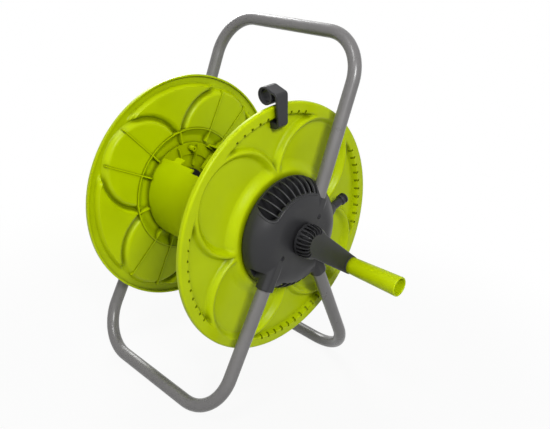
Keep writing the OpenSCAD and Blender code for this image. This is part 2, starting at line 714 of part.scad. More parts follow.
module inlet_nipple() color(charcoal) place() at_inlet() rotate_extrude() polygon([
    [inlet_bore / 2, neck_end - 8], [spigot_r, neck_end - 8], [spigot_r, neck_end], [nipple_d / 2, neck_end],
    [nipple_d / 2, inlet_reach - 12], [nipple_r, inlet_reach - 10.5], [nipple_r, inlet_reach - 6.5],
    [nipple_groove_r, inlet_reach - 6.5], [nipple_groove_r, inlet_reach - 3.5], [nipple_r, inlet_reach - 3.5],
    [nipple_r, inlet_reach - 1], [nipple_r - 1, inlet_reach], [inlet_bore / 2, inlet_reach]]);
module nipple_seal() color(rubber) place() at_inlet(inlet_reach - 5)
    rotate_extrude() translate([nipple_r - seat_fit - seal_r, 0]) circle(r = seal_r, $fn = 48);
module left_bearing() color(charcoal) place() mirror([1, 0, 0]) difference() {
    rod(manifold_x, manifold_end - manifold_x, manifold_r);
    rod(manifold_x - eps, manifold_end - manifold_x + 2 * eps, axle_r + run_fit);
}

// Stand: each loop is two straight legs, two bends and a bar across
module loop(r, reach, bend, over) {
    both_sides() {
        translate([tube_x, 0, tube_inset - over]) cylinder(h = reach - bend - tube_inset + over, r = r);
        translate([tube_x - bend, 0, reach - bend]) rotate([90, 0, 0])
            rotate_extrude(angle = 90) translate([bend, 0]) circle(r = r);
    }
    translate([bend - tube_x, 0, reach]) rotate([0, 90, 0]) cylinder(h = 2 * (tube_x - bend), r = r);
}
module tube_loop(leg) color(tube_grey) place() at_leg(leg) difference() {
    loop(tube_r, leg[3], leg[4], 0);
    loop(tube_r - tube_wall, leg[3], leg[4], eps);
    both_sides() translate([0, 0, lock_at]) rod(tube_x + 1, tube_r, screw_r + seat_fit);
}
module handle_tube() tube_loop(legs[0]);
module front_leg_tube() tube_loop(legs[1]);
module rear_leg_tube() tube_loop(legs[2]);

left_flange();
right_flange();
drum_core();
water_axle();
stub_axle();
axle_seals();
outlet_elbow();
outlet_nut();
flange_screws();
axle_screws();
crank_arm();
crank_pin();
grip_spindle();
grip_retainer();
crank_grip();
hose_clip();
right_cover();
left_cover();
right_plate();
left_plate();
cover_screws();
tube_screws();
right_bush();
left_bush();
inlet_manifold();
inlet_nipple();
nipple_seal();
left_bearing();
handle_tube();
front_leg_tube();
rear_leg_tube();
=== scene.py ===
import bpy
import bmesh
import json
import math
from mathutils import Matrix, Vector


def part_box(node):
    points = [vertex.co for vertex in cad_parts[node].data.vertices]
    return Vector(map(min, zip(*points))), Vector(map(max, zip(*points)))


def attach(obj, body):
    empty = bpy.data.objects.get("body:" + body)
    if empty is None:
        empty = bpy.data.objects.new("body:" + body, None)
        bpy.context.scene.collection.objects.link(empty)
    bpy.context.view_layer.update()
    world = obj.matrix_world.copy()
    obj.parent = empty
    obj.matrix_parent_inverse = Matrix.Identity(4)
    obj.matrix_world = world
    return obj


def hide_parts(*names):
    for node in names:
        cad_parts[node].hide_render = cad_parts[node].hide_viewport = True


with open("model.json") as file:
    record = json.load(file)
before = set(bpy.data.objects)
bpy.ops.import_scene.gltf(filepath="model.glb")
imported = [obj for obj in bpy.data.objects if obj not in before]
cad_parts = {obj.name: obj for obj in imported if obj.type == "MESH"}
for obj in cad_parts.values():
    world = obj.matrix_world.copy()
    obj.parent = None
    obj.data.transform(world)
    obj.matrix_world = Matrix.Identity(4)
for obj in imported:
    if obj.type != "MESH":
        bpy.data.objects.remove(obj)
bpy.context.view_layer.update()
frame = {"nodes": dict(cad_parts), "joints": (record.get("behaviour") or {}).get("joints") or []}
nodes = frame["nodes"]
print("frame loaded:", len(nodes), "nodes")

# The reel's own origin is on the axle, midway between the flanges
axleHeight = frame["joints"][0]["pos_m"][2]
reelMiddle = (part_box("left_flange")[0].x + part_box("right_flange")[1].x) / 2
mm = 0.001


def linked(name, data):
    thing = bpy.data.objects.new(name, data)
    bpy.context.scene.collection.objects.link(thing)
    return thing


# Camera, where the photograph was taken from. Place is from the reel's middle, in millimetres
shot = {"place": (727.1, -678.1, 344.0), "azimuth": 42.91, "elevation": 19.41, "roll": 5.98, "lens": 43.33,
        "sensor": 36, "near": 0.05}


def placeCamera(shot):
    azimuth, elevation, roll = (math.radians(shot[k]) for k in ("azimuth", "elevation", "roll"))
    back = Vector((math.sin(azimuth) * math.cos(elevation), -math.cos(azimuth) * math.cos(elevation),
                   math.sin(elevation)))
    right = Vector((math.cos(azimuth), math.sin(azimuth), 0))
    up = back.cross(right)
    rolledRight = right * math.cos(roll) + up * math.sin(roll)
    rolledUp = up * math.cos(roll) - right * math.sin(roll)
    camera = linked("camera", bpy.data.cameras.new("camera"))
    turn = Matrix((rolledRight, rolledUp, back)).transposed().to_4x4()
    x, y, z = shot["place"]
    spot = Vector((reelMiddle + x * mm, y * mm, axleHeight + z * mm))
    camera.matrix_world = Matrix.Translation(spot) @ turn
    camera.data.lens = shot["lens"]
    camera.data.sensor_width = shot["sensor"]
    camera.data.clip_start = shot["near"]
    bpy.context.scene.camera = camera


placeCamera(shot)
bpy.context.scene.view_settings.view_transform = "Standard"


# Studio: a white world for the lens, a floor that is white except where the shadow falls, soft lamps
studio = {"floor": 60.0, "grey": (0.5, 0.5, 0.5, 1), "white": (1, 1, 1, 1), "world": 0.15, "near": 0.92,
          "fadeFrom": 0.35, "fadeTo": 0.9}
lamps = {
    "key": {"spot": (1.87, -1.02, 1.66), "power": 46, "size": 0.6},
    "above": {"spot": (0.25, -1.0, 1.95), "power": 14, "size": 0.5},
    "front": {"spot": (1.0, -2.2, 0.9), "power": 2.5, "size": 1.2},
    "back": {"spot": (-1.8, 0.7, 1.5), "power": 42, "size": 1.0},
}


def setInputs(node, values):
    for name, value in values.items():
        node.inputs[name].default_value = value


def combined(tree, operation, first, second):
    node = tree.nodes.new("ShaderNodeMath")
    node.operation = operation
    tree.links.new(first, node.inputs[0])
    tree.links.new(second, node.inputs[1])
    return node.outputs[0]


def lensRays(tree):
    seen = tree.nodes.new("ShaderNodeLightPath")
    total = seen.outputs["Is Camera Ray"]
    for ray in ("Is Glossy Ray", "Is Transmission Ray"):
        total = combined(tree, "MAXIMUM", total, seen.outputs[ray])
    return total


def mixed(tree, factor, plain, white):
    mix = tree.nodes.new("ShaderNodeMixShader")
    tree.links.new(factor, mix.inputs["Fac"])
    tree.links.new(plain.outputs[0], mix.inputs[1])
    tree.links.new(white.outputs[0], mix.inputs[2])
    return mix.outputs[0]


def buildWorld():
    world = bpy.data.worlds.new("studio")
    bpy.context.scene.world = world
    world.use_nodes = True
    tree = world.node_tree
    plain = tree.nodes["Background"]
    setInputs(plain, {"Color": studio["white"], "Strength": studio["world"]})
    white = tree.nodes.new("ShaderNodeBackground")
    setInputs(white, {"Color": studio["white"], "Strength": 1})
    tree.links.new(mixed(tree, lensRays(tree), plain, white), tree.nodes["World Output"].inputs["Surface"])


def paleFloor():
    pale = bpy.data.materials.new("paleFloor")
    pale.use_nodes = True
    tree = pale.node_tree
    shader = tree.nodes["Principled BSDF"]
    setInputs(shader, {"Base Color": studio["grey"], "Roughness": 0.9, "Specular IOR Level": 0})
    white = tree.nodes.new("ShaderNodeEmission")
    setInputs(white, {"Strength": 1})
    place = tree.nodes.new("ShaderNodeTexCoord")
    away = tree.nodes.new("ShaderNodeVectorMath")
    away.operation = "LENGTH"
    tree.links.new(place.outputs["Object"], away.inputs[0])
    fade = tree.nodes.new("ShaderNodeMapRange")
    fade.interpolation_type = "SMOOTHSTEP"
    setInputs(fade, {"From Min": studio["fadeFrom"], "From Max": studio["fadeTo"], "To Min": studio["near"]})
    tree.links.new(away.outputs["Value"], fade.inputs["Value"])
    share = combined(tree, "MULTIPLY", fade.outputs["Result"], lensRays(tree))
    surface = tree.nodes["Material Output"].inputs["Surface"]
    tree.links.new(mixed(tree, share, shader, white), surface)
    return pale


def buildStudio():
    buildWorld()
    half = studio["floor"] / 2
    mesh = bpy.data.meshes.new("floor")
    corners = [(-half, -half, 0), (half, -half, 0), (half, half, 0), (-half, half, 0)]
    mesh.from_pydata(corners, [], [(0, 1, 2, 3)])
    floor = linked("floor", mesh)
    mesh.materials.append(paleFloor())
    for name, lamp in lamps.items():
        light = linked(name, bpy.data.lights.new(name, "AREA"))
        light.data.energy = lamp["power"]
        light.data.size = lamp["size"]
        light.location = lamp["spot"]
        aim = Vector((0, 0, axleHeight)) - Vector(lamp["spot"])
        light.rotation_euler = aim.to_track_quat("-Z", "Y").to_euler()


buildStudio()
print("camera and studio ready")


# Finishes. Colours are linear. Grain is the size of the moulded texture in millimetres, and the painted
# crease shade is the share of the colour that is left in narrow slots and inner corners, where ambient
# occlusion darkens the colour as painted shade
finishes = {
    "limePlastic": {"colour": (0.43, 0.54, 0), "rough": 0.34, "gloss": 0.14, "grain": 0.35, "depth": 0.05,
                    "vary": 0.05, "creaseShade": 0.4},
    "charcoalPlastic": {"colour": (0.023, 0.023, 0.025), "rough": 0.38, "gloss": 0.3, "grain": 0.3,
                        "depth": 0.08, "vary": 0.1, "creaseShade": 0.5},
    "acetal": {"colour": (0.71, 0.68, 0.58), "rough": 0.4, "gloss": 0.4, "grain": 0.4, "depth": 0.03,
               "vary": 0.04},
    "tubePaint": {"colour": (0.145, 0.14, 0.14), "rough": 0.3, "gloss": 0.5, "grain": 0.9, "depth": 0.12,
                  "vary": 0.06},
    "zinc": {"colour": (0.6, 0.6, 0.58), "rough": 0.3, "gloss": 0.5, "grain": 0.25, "depth": 0.05,
             "vary": 0.1, "metal": 1},
    "blackZinc": {"colour": (0.045, 0.045, 0.05), "rough": 0.36, "gloss": 0.5, "grain": 0.25, "depth": 0.05,
                  "vary": 0.1, "metal": 1},
    "rubber": {"colour": (0.012, 0.012, 0.012), "rough": 0.7, "gloss": 0.3, "grain": 0.2, "depth": 0.1,
               "vary": 0.1},
}
# Ambient occlusion that paints shade into the colour of narrow slots and inner corners
creaseShading = {"rays": 8, "reach": 9, "tight": 0.45, "open": 0.93}
patches = {"colour": 60, "rough": 22, "low": 0.3, "high": 0.7, "bump": 0.35}


def noiseAt(tree, place, size, detail):
    noise = tree.nodes.new("ShaderNodeTexNoise")
    setInputs(noise, {"Scale": 1 / (size * mm), "Detail": detail})
    tree.links.new(place.outputs["Object"], noise.inputs["Vector"])
    return noise


def spread(tree, source, low, high):
    band = tree.nodes.new("ShaderNodeMapRange")
    setInputs(band, {"From Min": patches["low"], "From Max": patches["high"], "To Min": low, "To Max": high})
    tree.links.new(source.outputs["Fac"], band.inputs["Value"])
    return band.outputs["Result"]


# Painted shade: the colour's share is one on open faces, falling to the least share where faces stand close
# together
def paintedCreaseShade(tree, least):
    creaseShade = tree.nodes.new("ShaderNodeAmbientOcclusion")
    creaseShade.samples = creaseShading["rays"]
    setInputs(creaseShade, {"Distance": creaseShading["reach"] * mm})
    left = tree.nodes.new("ShaderNodeMapRange")
    setInputs(left, {"From Min": creaseShading["tight"], "From Max": creaseShading["open"], "To Min": least})
    tree.links.new(creaseShade.outputs["AO"], left.inputs["Value"])
    return left.outputs["Result"]


def makeFinish(name, finish):
    material = bpy.data.materials.new(name)
    material.use_nodes = True
    tree = material.node_tree
    shader = tree.nodes["Principled BSDF"]
    setInputs(shader, {"Metallic": finish.get("metal", 0), "Specular IOR Level": finish["gloss"]})
    place = tree.nodes.new("ShaderNodeTexCoord")
    cloudy = noiseAt(tree, place, patches["colour"], 2)
    toneAndCreaseShade = spread(tree, cloudy, 1 - finish["vary"], 1 + finish["vary"])
    # The colour is darkened by painted shade in narrow slots and inner corners
    if "creaseShade" in finish:
        toneAndCreaseShade = combined(tree, "MULTIPLY", toneAndCreaseShade, paintedCreaseShade(tree, finish["creaseShade"]))
    tint = tree.nodes.new("ShaderNodeVectorMath")
    tint.operation = "SCALE"
    tint.inputs[0].default_value = finish["colour"]
    tree.links.new(toneAndCreaseShade, tint.inputs["Scale"])
    tree.links.new(tint.outputs[0], shader.inputs["Base Color"])
    worn = noiseAt(tree, place, patches["rough"], 4)
    handled = spread(tree, worn, finish["rough"] - 0.05, finish["rough"] + 0.07)
    tree.links.new(handled, shader.inputs["Roughness"])
    grain = noiseAt(tree, place, finish["grain"] * 4, 3)
    bump = tree.nodes.new("ShaderNodeBump")
    setInputs(bump, {"Strength": patches["bump"], "Distance": finish["depth"] * mm})
    tree.links.new(grain.outputs["Fac"], bump.inputs["Height"])
    tree.links.new(bump.outputs["Normal"], shader.inputs["Normal"])
    return material


materials = {name: makeFinish(name, finish) for name, finish in finishes.items()}
print("finishes ready")


# Shapes are drawn in millimetres in the reel's own frame, then set into the part's frame
reelToPart = Matrix.Translation((reelMiddle, 0, axleHeight)) @ Matrix.Scale(mm, 4)


def spoke(angle, radius=0):
    return Matrix.Rotation(-math.radians(angle), 4, "X") @ Matrix.Translation((0, 0, radius))


def meshPiece(name, shapes):
    builder = bmesh.new()
    for verts, faces in shapes:
        made = [builder.verts.new(v) for v in verts]
        for face in faces:
            builder.faces.new([made[i] for i in face])
    bmesh.ops.remove_doubles(builder, verts=builder.verts, dist=1e-4)
    bmesh.ops.recalc_face_normals(builder, faces=builder.faces)
    mesh = bpy.data.meshes.new(name)
    builder.to_mesh(mesh)
    builder.free()
    return linked(name, mesh)


def turned(profile, steps=96, closed=False):
    verts, faces, rings = [], [], []
    for x, r in profile:
        count = 1 if r < 1e-6 else steps
        rings.append(list(range(len(verts), len(verts) + count)))
        angles = [math.tau * i / count for i in range(count)]
        verts += [(x, r * math.sin(a), r * math.cos(a)) for a in angles]
    pairs = list(zip(rings, rings[1:] + rings[:1])) if closed else list(zip(rings, rings[1:]))
    for low, high in pairs:
        for i in range(steps):
            j = (i + 1) % steps
            corners = [low[i % len(low)], low[j % len(low)], high[j % len(high)], high[i % len(high)]]
            corners = list(dict.fromkeys(corners))
            if len(corners) > 2:
                faces.append(corners)
    return verts, faces


def slab(outline, x0, x1):
    n = len(outline)
    verts = [(x, y, z) for x in (x0, x1) for y, z in outline]
    sides = [(i, (i + 1) % n, (i + 1) % n + n, i + n) for i in range(n)]
    return verts, sides + [tuple(range(n)), tuple(range(2 * n - 1, n - 1, -1))]


def moved(shape, matrix):
    verts, faces = shape
    return [matrix @ Vector(v) for v in verts], faces


def alongSpoke(profile, steps=64):
    verts, faces = turned(profile, steps)
    return [(-z, y, x) for x, y, z in verts], faces


def rodAlong(start, end, radius, steps=48):
    return alongSpoke([(start, 0), (start, radius), (end, radius), (end, 0)], steps)


def solidRod(x0, x1, radius, steps=96):
    return turned([(x0, 0), (x0, radius), (x1, radius), (x1, 0)], steps)


def sector(start, end, inner, outer, x0, x1, steps=24):
    angles = [math.radians(start + (end - start) * i / steps) for i in range(steps + 1)]
    edge = [(inner * math.sin(a), inner * math.cos(a)) for a in angles]
    return slab(edge + [(outer * math.sin(a), outer * math.cos(a)) for a in reversed(angles)], x0, x1)


def evaluated(piece):
    graph = bpy.context.evaluated_depsgraph_get()
    mesh = bpy.data.meshes.new_from_object(piece.evaluated_get(graph))
    piece.modifiers.clear()
    piece.data = mesh
    return piece


def cutAway(piece, *cutters, how="DIFFERENCE"):
    for cutter in cutters:
        step = piece.modifiers.new("cut", "BOOLEAN")
        step.operation = how
        step.solver = "MANIFOLD"
        step.object = cutter
    evaluated(piece)
    for cutter in cutters:
        bpy.data.objects.remove(cutter)


def mirroredCopy(piece, name):
    mesh = piece.data.copy()
    mesh.transform(Matrix.Scale(-1, 4, (1, 0, 0)))
    mesh.flip_normals()
    return linked(name, mesh)


def dressed(piece, finish, body, replaced, sharp=32):
    mesh = piece.data
    mesh.transform(reelToPart)
    mesh.materials.clear()
    mesh.materials.append(materials[finish])
    mesh.polygons.foreach_set("material_index", [0] * len(mesh.polygons))
    mesh.shade_smooth()
    mesh.set_sharp_from_angle(angle=math.radians(sharp))
    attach(piece, body)
    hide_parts(*replaced)
    print("made", piece.name, len(mesh.polygons), "faces")


# Geometry node trees
class Rule:
    # A number in a node tree, so that a shape's rule reads as a formula
    def __init__(self, tree, socket):
        self.tree = tree
        self.socket = socket

    def use(self, operation, *others):
        node = self.tree.nodes.new("ShaderNodeMath")
        node.operation = operation
        for slot, value in zip(node.inputs, (self,) + others):
            if isinstance(value, Rule):
                self.tree.links.new(value.socket, slot)
            else:
                slot.default_value = value
        return Rule(self.tree, node.outputs[0])

    def __add__(self, other):
        return self.use("ADD", other)

    def __sub__(self, other):
        return self.use("SUBTRACT", other)

    def __mul__(self, other):
        return self.use("MULTIPLY", other)

    def __truediv__(self, other):
        return self.use("DIVIDE", other)

    def ramp(self, start, end):
        node = self.tree.nodes.new("ShaderNodeMapRange")
        node.interpolation_type = "SMOOTHSTEP"
        self.tree.links.new(self.socket, node.inputs["Value"])
        for slot, value in (("From Min", start), ("From Max", end)):
            if isinstance(value, Rule):
                self.tree.links.new(value.socket, node.inputs[slot])
            else:
                node.inputs[slot].default_value = value
        return Rule(self.tree, node.outputs["Result"])


def newTree(name, sizes):
    tree = bpy.data.node_groups.new(name, "GeometryNodeTree")
    tree.interface.new_socket("Geometry", in_out="INPUT", socket_type="NodeSocketGeometry")
    for label in sizes:
        kind = "NodeSocketInt" if label.endswith("Count") else "NodeSocketFloat"
        tree.interface.new_socket(label, in_out="INPUT", socket_type=kind)
    tree.interface.new_socket("Finish", in_out="INPUT", socket_type="NodeSocketMaterial")
    tree.interface.new_socket("Geometry", in_out="OUTPUT", socket_type="NodeSocketGeometry")
    inlet = tree.nodes.new("NodeGroupInput")
    values = {label: Rule(tree, inlet.outputs[label]) for label in sizes}
    return tree, inlet, values


def closeTree(tree, inlet, geometry):
    real = tree.nodes.new("GeometryNodeRealizeInstances")
    painted = tree.nodes.new("GeometryNodeSetMaterial")
    outlet = tree.nodes.new("NodeGroupOutput")
    tree.links.new(geometry, real.inputs[0])
    tree.links.new(real.outputs[0], painted.inputs["Geometry"])
    tree.links.new(inlet.outputs["Finish"], painted.inputs["Material"])
    tree.links.new(painted.outputs[0], outlet.inputs[0])


def setTree(piece, tree, finish, **sizes):
    step = piece.modifiers.new(tree.name, "NODES")
    step.node_group = tree
    named = {item.name: item.identifier for item in tree.interface.items_tree if item.in_out == "INPUT"}
    for label, value in sizes.items():
        step[named[label]] = value
    step[named["Finish"]] = materials[finish]


# Copies of one shape round the axle, in groups
def aroundAxleTree():
    tree, inlet, v = newTree("aroundAxle", ["copyCount", "groupCount", "first", "step", "groupStep"])
    points = tree.nodes.new("GeometryNodePoints")
    total = v["copyCount"] * v["groupCount"]
    tree.links.new(total.socket, points.inputs["Count"])
    index = Rule(tree, tree.nodes.new("GeometryNodeInputIndex").outputs[0])
    group = (index / v["copyCount"] + 0.001).use("FLOOR")
    inGroup = index - group * v["copyCount"]
    angle = v["first"] + inGroup * v["step"] + group * v["groupStep"]
    turn = tree.nodes.new("ShaderNodeCombineXYZ")
    tree.links.new((angle * (-math.pi / 180)).socket, turn.inputs["X"])
    copies = tree.nodes.new("GeometryNodeInstanceOnPoints")
    tree.links.new(points.outputs[0], copies.inputs["Points"])
    tree.links.new(inlet.outputs["Geometry"], copies.inputs["Instance"])
    tree.links.new(turn.outputs[0], copies.inputs["Rotation"])
    closeTree(tree, inlet, copies.outputs[0])
    return tree


# The pressed flange: a round sheet whose height follows the four petals, the hub ring and the rim
def pressedFlangeTree():
    sizes = ["aroundCount", "acrossCount", "bore", "hub", "face", "edge", "roll", "lip", "relief", "petal",
             "petalPlace", "petalTurn", "petalSlope", "ridge", "ridgeSlope", "hubTop", "hubFoot", "rimTop",
             "rimFoot"]
    tree, inlet, v = newTree("pressedFlange", sizes)
    grid = tree.nodes.new("GeometryNodeMeshGrid")
    tree.links.new(v["acrossCount"].socket, grid.inputs["Vertices X"])
    tree.links.new((v["aroundCount"] + 1).socket, grid.inputs["Vertices Y"])
    where = tree.nodes.new("ShaderNodeSeparateXYZ")
    tree.links.new(tree.nodes.new("GeometryNodeInputPosition").outputs[0], where.inputs[0])
    along = Rule(tree, where.outputs["X"]) + 0.5
    turn = (Rule(tree, where.outputs["Y"]) + 0.5) * math.tau
    # a tenth of the steps lie inside the hub ring, the rest run out over the rolled edge
    flat = v["edge"] - v["roll"]
    run = flat + v["roll"] * (math.pi / 2) + v["lip"]
    inside = (along / 0.1).use("MINIMUM", 1) * (v["hub"] - v["bore"])
    outside = ((along - 0.1) / 0.9).use("MAXIMUM", 0) * (run - v["hub"])
    path = v["bore"] + inside + outside
    past = (path - flat).use("MAXIMUM", 0)
    bend = (past / v["roll"]).use("MINIMUM", math.pi / 2)
    radius = path.use("MINIMUM", flat) + v["roll"] * bend.use("SINE")
    drop = v["roll"] - v["roll"] * bend.use("COSINE") + (past - v["roll"] * (math.pi / 2)).use("MAXIMUM", 0)
    # fold the turn into one quarter, so one petal stands for four
    folded = (turn - v["petalTurn"] * (math.pi / 180)).use("WRAP", math.pi / 4, -math.pi / 4)
    sideways = radius * folded.use("SINE")
    outward = radius * folded.use("COSINE") - v["petalPlace"]
    reach = (sideways * sideways + outward * outward).use("SQRT")
    petal = reach.ramp(v["petal"] + v["petalSlope"], v["petal"])
    ridgeEnd = v["petal"] + v["ridge"]
    corner = reach.ramp(ridgeEnd - v["ridgeSlope"], ridgeEnd) * radius.ramp(v["rimTop"], v["rimFoot"])
    hollow = petal.use("MAXIMUM", corner) * radius.ramp(v["hubTop"], v["hubFoot"])
    spot = tree.nodes.new("ShaderNodeCombineXYZ")
    tree.links.new((v["face"] - v["relief"] * hollow - drop).socket, spot.inputs["X"])
    tree.links.new((radius * turn.use("SINE")).socket, spot.inputs["Y"])
    tree.links.new((radius * turn.use("COSINE")).socket, spot.inputs["Z"])
    placed = tree.nodes.new("GeometryNodeSetPosition")
    tree.links.new(grid.outputs["Mesh"], placed.inputs["Geometry"])
    tree.links.new(spot.outputs[0], placed.inputs["Position"])
    joined = tree.nodes.new("GeometryNodeMergeByDistance")
    joined.inputs["Distance"].default_value = 0.001
    tree.links.new(placed.outputs[0], joined.inputs["Geometry"])
    closeTree(tree, inlet, joined.outputs[0])
    return tree


aroundAxle = aroundAxleTree()
pressedFlange = pressedFlangeTree()


def copiesAround(name, shapes, finish, count, first, step, groups=1, groupStep=0):
    piece = meshPiece(name, shapes)
    setTree(piece, aroundAxle, finish, copyCount=count, groupCount=groups, first=first, step=step,
            groupStep=groupStep)
    return evaluated(piece)


# Flanges
flange = {"wall": 2.6, "ribWidth": 2, "ribProud": 1.5, "ribSpread": 10, "notches": 10, "notchStep": 4.85,
          "notchWidth": 3.6, "notchDeep": 1.75, "notchFrom": 171.8, "notchTo": 177.8, "ringRib": 102.6,
          "ringRibEnd": 104.4, "ribFrom": 83, "shortRibTo": 104}
sheet = {"aroundCount": 432, "acrossCount": 96, "bore": 10.1, "hub": 80, "face": 116, "edge": 190, "roll": 3,
         "lip": 4, "relief": 9, "petal": 64, "petalPlace": 105, "petalTurn": 30, "petalSlope": 9,
         "ridge": 17.5, "ridgeSlope": 7, "hubTop": 89, "hubFoot": 107, "rimTop": 175, "rimFoot": 169.5}


def box(x0, x1, y0, y1, z0, z1):
    return slab([(y0, z0), (y1, z0), (y1, z1), (y0, z1)], x0, x1)


# Everything in front of the flange's sheet, with some of the sheet's sizes changed
def inFront(**changes):
    piece = meshPiece("front", [])
    setTree(piece, pressedFlange, "limePlastic", **{**sheet, "edge": 184, "roll": 0.05, "lip": 0, **changes})
    evaluated(piece)
    builder = bmesh.new()
    builder.from_mesh(piece.data)
    pulled = bmesh.ops.extrude_face_region(builder, geom=builder.faces[:])["geom"]
    for vert in (part for part in pulled if isinstance(part, bmesh.types.BMVert)):
        vert.co.x = sheet["face"] + 20
    bmesh.ops.recalc_face_normals(builder, faces=builder.faces)
    builder.to_mesh(piece.data)
    builder.free()
    return piece


def faceOutward(piece):
    builder = bmesh.new()
    builder.from_mesh(piece.data)
    bmesh.ops.recalc_face_normals(builder, faces=builder.faces)
    builder.to_mesh(piece.data)
    builder.free()


def buildFlanges():
    piece = meshPiece("rightFlange", [])
    setTree(piece, pressedFlange, "limePlastic", **sheet)
    wall = piece.modifiers.new("wall", "SOLIDIFY")
    wall.thickness = flange["wall"]
    wall.offset = 1
    wall.use_even_offset = True
    evaluated(piece)
    faceOutward(piece)
    face, deep = sheet["face"], flange["notchDeep"]
    ribTop = face - sheet["relief"] - flange["wall"] - flange["ribProud"]
    half = flange["ribWidth"] / 2
    long = box(ribTop, face, -half, half, flange["ribFrom"], sheet["rimTop"] - 2)
    short = box(ribTop, face, -half, half, flange["ribFrom"], flange["shortRibTo"])
    ribs = copiesAround("longRibs", [long], "limePlastic", 2, sheet["petalTurn"] - flange["ribSpread"],
                        2 * flange["ribSpread"], 4, 90)
    pinch = copiesAround("shortRibs", [short], "limePlastic", 4, sheet["petalTurn"] + 45, 90)
    inner, outer = flange["ringRib"], flange["ringRibEnd"]
    ring = meshPiece("ringRib", [turned([(ribTop, inner), (ribTop, outer), (face, outer), (face, inner)], 160,
                                        closed=True)])
    for stiffener in (ribs, pinch, ring):
        cutAway(stiffener, inFront(face=face - flange["wall"] / 2))
    cutAway(piece, ribs, pinch, ring, how="UNION")
    notch = box(face - sheet["relief"], face + 2, -flange["notchWidth"] / 2, flange["notchWidth"] / 2,
                flange["notchFrom"], flange["notchTo"])
    first = sheet["petalTurn"] + 45 - (flange["notches"] - 1) / 2 * flange["notchStep"]
    notches = copiesAround("notches", [notch], "limePlastic", flange["notches"], first, flange["notchStep"],
                           4, 90)
    under = inFront(face=face - deep, relief=sheet["relief"] - deep - 0.5, rimTop=sheet["rimTop"] + deep,
                    rimFoot=sheet["rimFoot"] + deep)
    cutAway(notches, under, how="INTERSECT")
    cutAway(piece, notches)
    left = mirroredCopy(piece, "leftFlange")
    dressed(piece, "limePlastic", "reel", ["right_flange"])
    dressed(left, "limePlastic", "reel", ["left_flange"])


buildFlanges()


# Moulded pieces: rough solids melted together, so that they meet in small fillets
def moulded(name, shapes, voxel, passes):
    piece = meshPiece(name, shapes)
    melt = piece.modifiers.new("melt", "REMESH")
    melt.mode = "VOXEL"
    melt.voxel_size = voxel
    ease = piece.modifiers.new("ease", "SMOOTH")
    ease.factor = 0.5
    ease.iterations = passes
    return evaluated(piece)


def arc(x, r, radius, start, end, steps=6):
    angles = [math.radians(start + (end - start) * i / steps) for i in range(steps + 1)]
    return [(x + radius * math.cos(a), r + radius * math.sin(a)) for a in angles]


# A slot that widens outward, with round ends, drawn up the Z axis
def wedgeSlot(start, end, startWidth, endWidth, x0, x1):
    foot = arc(0, start + startWidth / 2, startWidth / 2, 180, 360)
    return slab(foot + arc(0, end - endWidth / 2, endWidth / 2, 0, 180), x0, x1)


def legMatrix(leg, x=0, z=0):
    return spoke(leg["turn"]) @ Matrix.Translation((x, leg["side"], z))


# Stand: the two feet and the handle, each one bent tube. Places are from the axle
stand = {"tube": 10, "across": 146.3, "inset": 25, "lockAt": 35}
legs = {
    "handle_tube": {"name": "handleTube", "out": 95, "up": 282, "side": 19, "socket": 62.5, "bend": 66},
    "front_leg_tube": {"name": "frontLegTube", "out": -136, "up": -259, "side": 30, "socket": 86.5,
                       "bend": 67},
    "rear_leg_tube": {"name": "rearLegTube", "out": 171, "up": -259, "side": -13, "socket": 87, "bend": 78},
}
for leg in legs.values():
    span = math.hypot(leg["out"], leg["up"])
    leg["turn"] = math.degrees(math.atan2(leg["out"], leg["up"]) - math.asin(leg["side"] / span))
    leg["reach"] = math.sqrt(span ** 2 - leg["side"] ** 2)


def bentTubeTree():
    tree, inlet, v = newTree("bentTube", ["across", "inset", "reach", "bend", "tube"])
    points = tree.nodes.new("GeometryNodePoints")
    points.inputs["Count"].default_value = 4
    index = Rule(tree, tree.nodes.new("GeometryNodeInputIndex").outputs[0])
    corner = index.use("MINIMUM", 1) * (index * -1 + 3).use("MINIMUM", 1)
    side = (index / 2 + 0.01).use("FLOOR") * -2 + 1
    spot = tree.nodes.new("ShaderNodeCombineXYZ")
    tree.links.new((side * v["across"]).socket, spot.inputs["X"])
    tree.links.new((v["inset"] + corner * (v["reach"] - v["inset"])).socket, spot.inputs["Z"])
    tree.links.new(spot.outputs[0], points.inputs["Position"])
    path = tree.nodes.new("GeometryNodePointsToCurves")
    tree.links.new(points.outputs[0], path.inputs["Points"])
    bent = tree.nodes.new("GeometryNodeFilletCurve")
    bent.mode = "POLY"
    bent.inputs["Count"].default_value = 24
    tree.links.new(path.outputs[0], bent.inputs["Curve"])
    tree.links.new(v["bend"].socket, bent.inputs["Radius"])
    section = tree.nodes.new("GeometryNodeCurvePrimitiveCircle")
    section.inputs["Resolution"].default_value = 40
    tree.links.new(v["tube"].socket, section.inputs["Radius"])
    skin = tree.nodes.new("GeometryNodeCurveToMesh")
    tree.links.new(bent.outputs[0], skin.inputs["Curve"])
    tree.links.new(section.outputs[0], skin.inputs["Profile Curve"])
    skin.inputs["Fill Caps"].default_value = True
    closeTree(tree, inlet, skin.outputs[0])
    return tree


bentTube = bentTubeTree()


def buildStand():
    for node, leg in legs.items():
        piece = meshPiece(leg["name"], [])
        setTree(piece, bentTube, "tubePaint", across=float(stand["across"]), inset=float(stand["inset"]),
                reach=leg["reach"], bend=float(leg["bend"]), tube=float(stand["tube"]))
        evaluated(piece)
        piece.data.transform(legMatrix(leg))
        dressed(piece, "tubePaint", "frame", [node], 50)


buildStand()


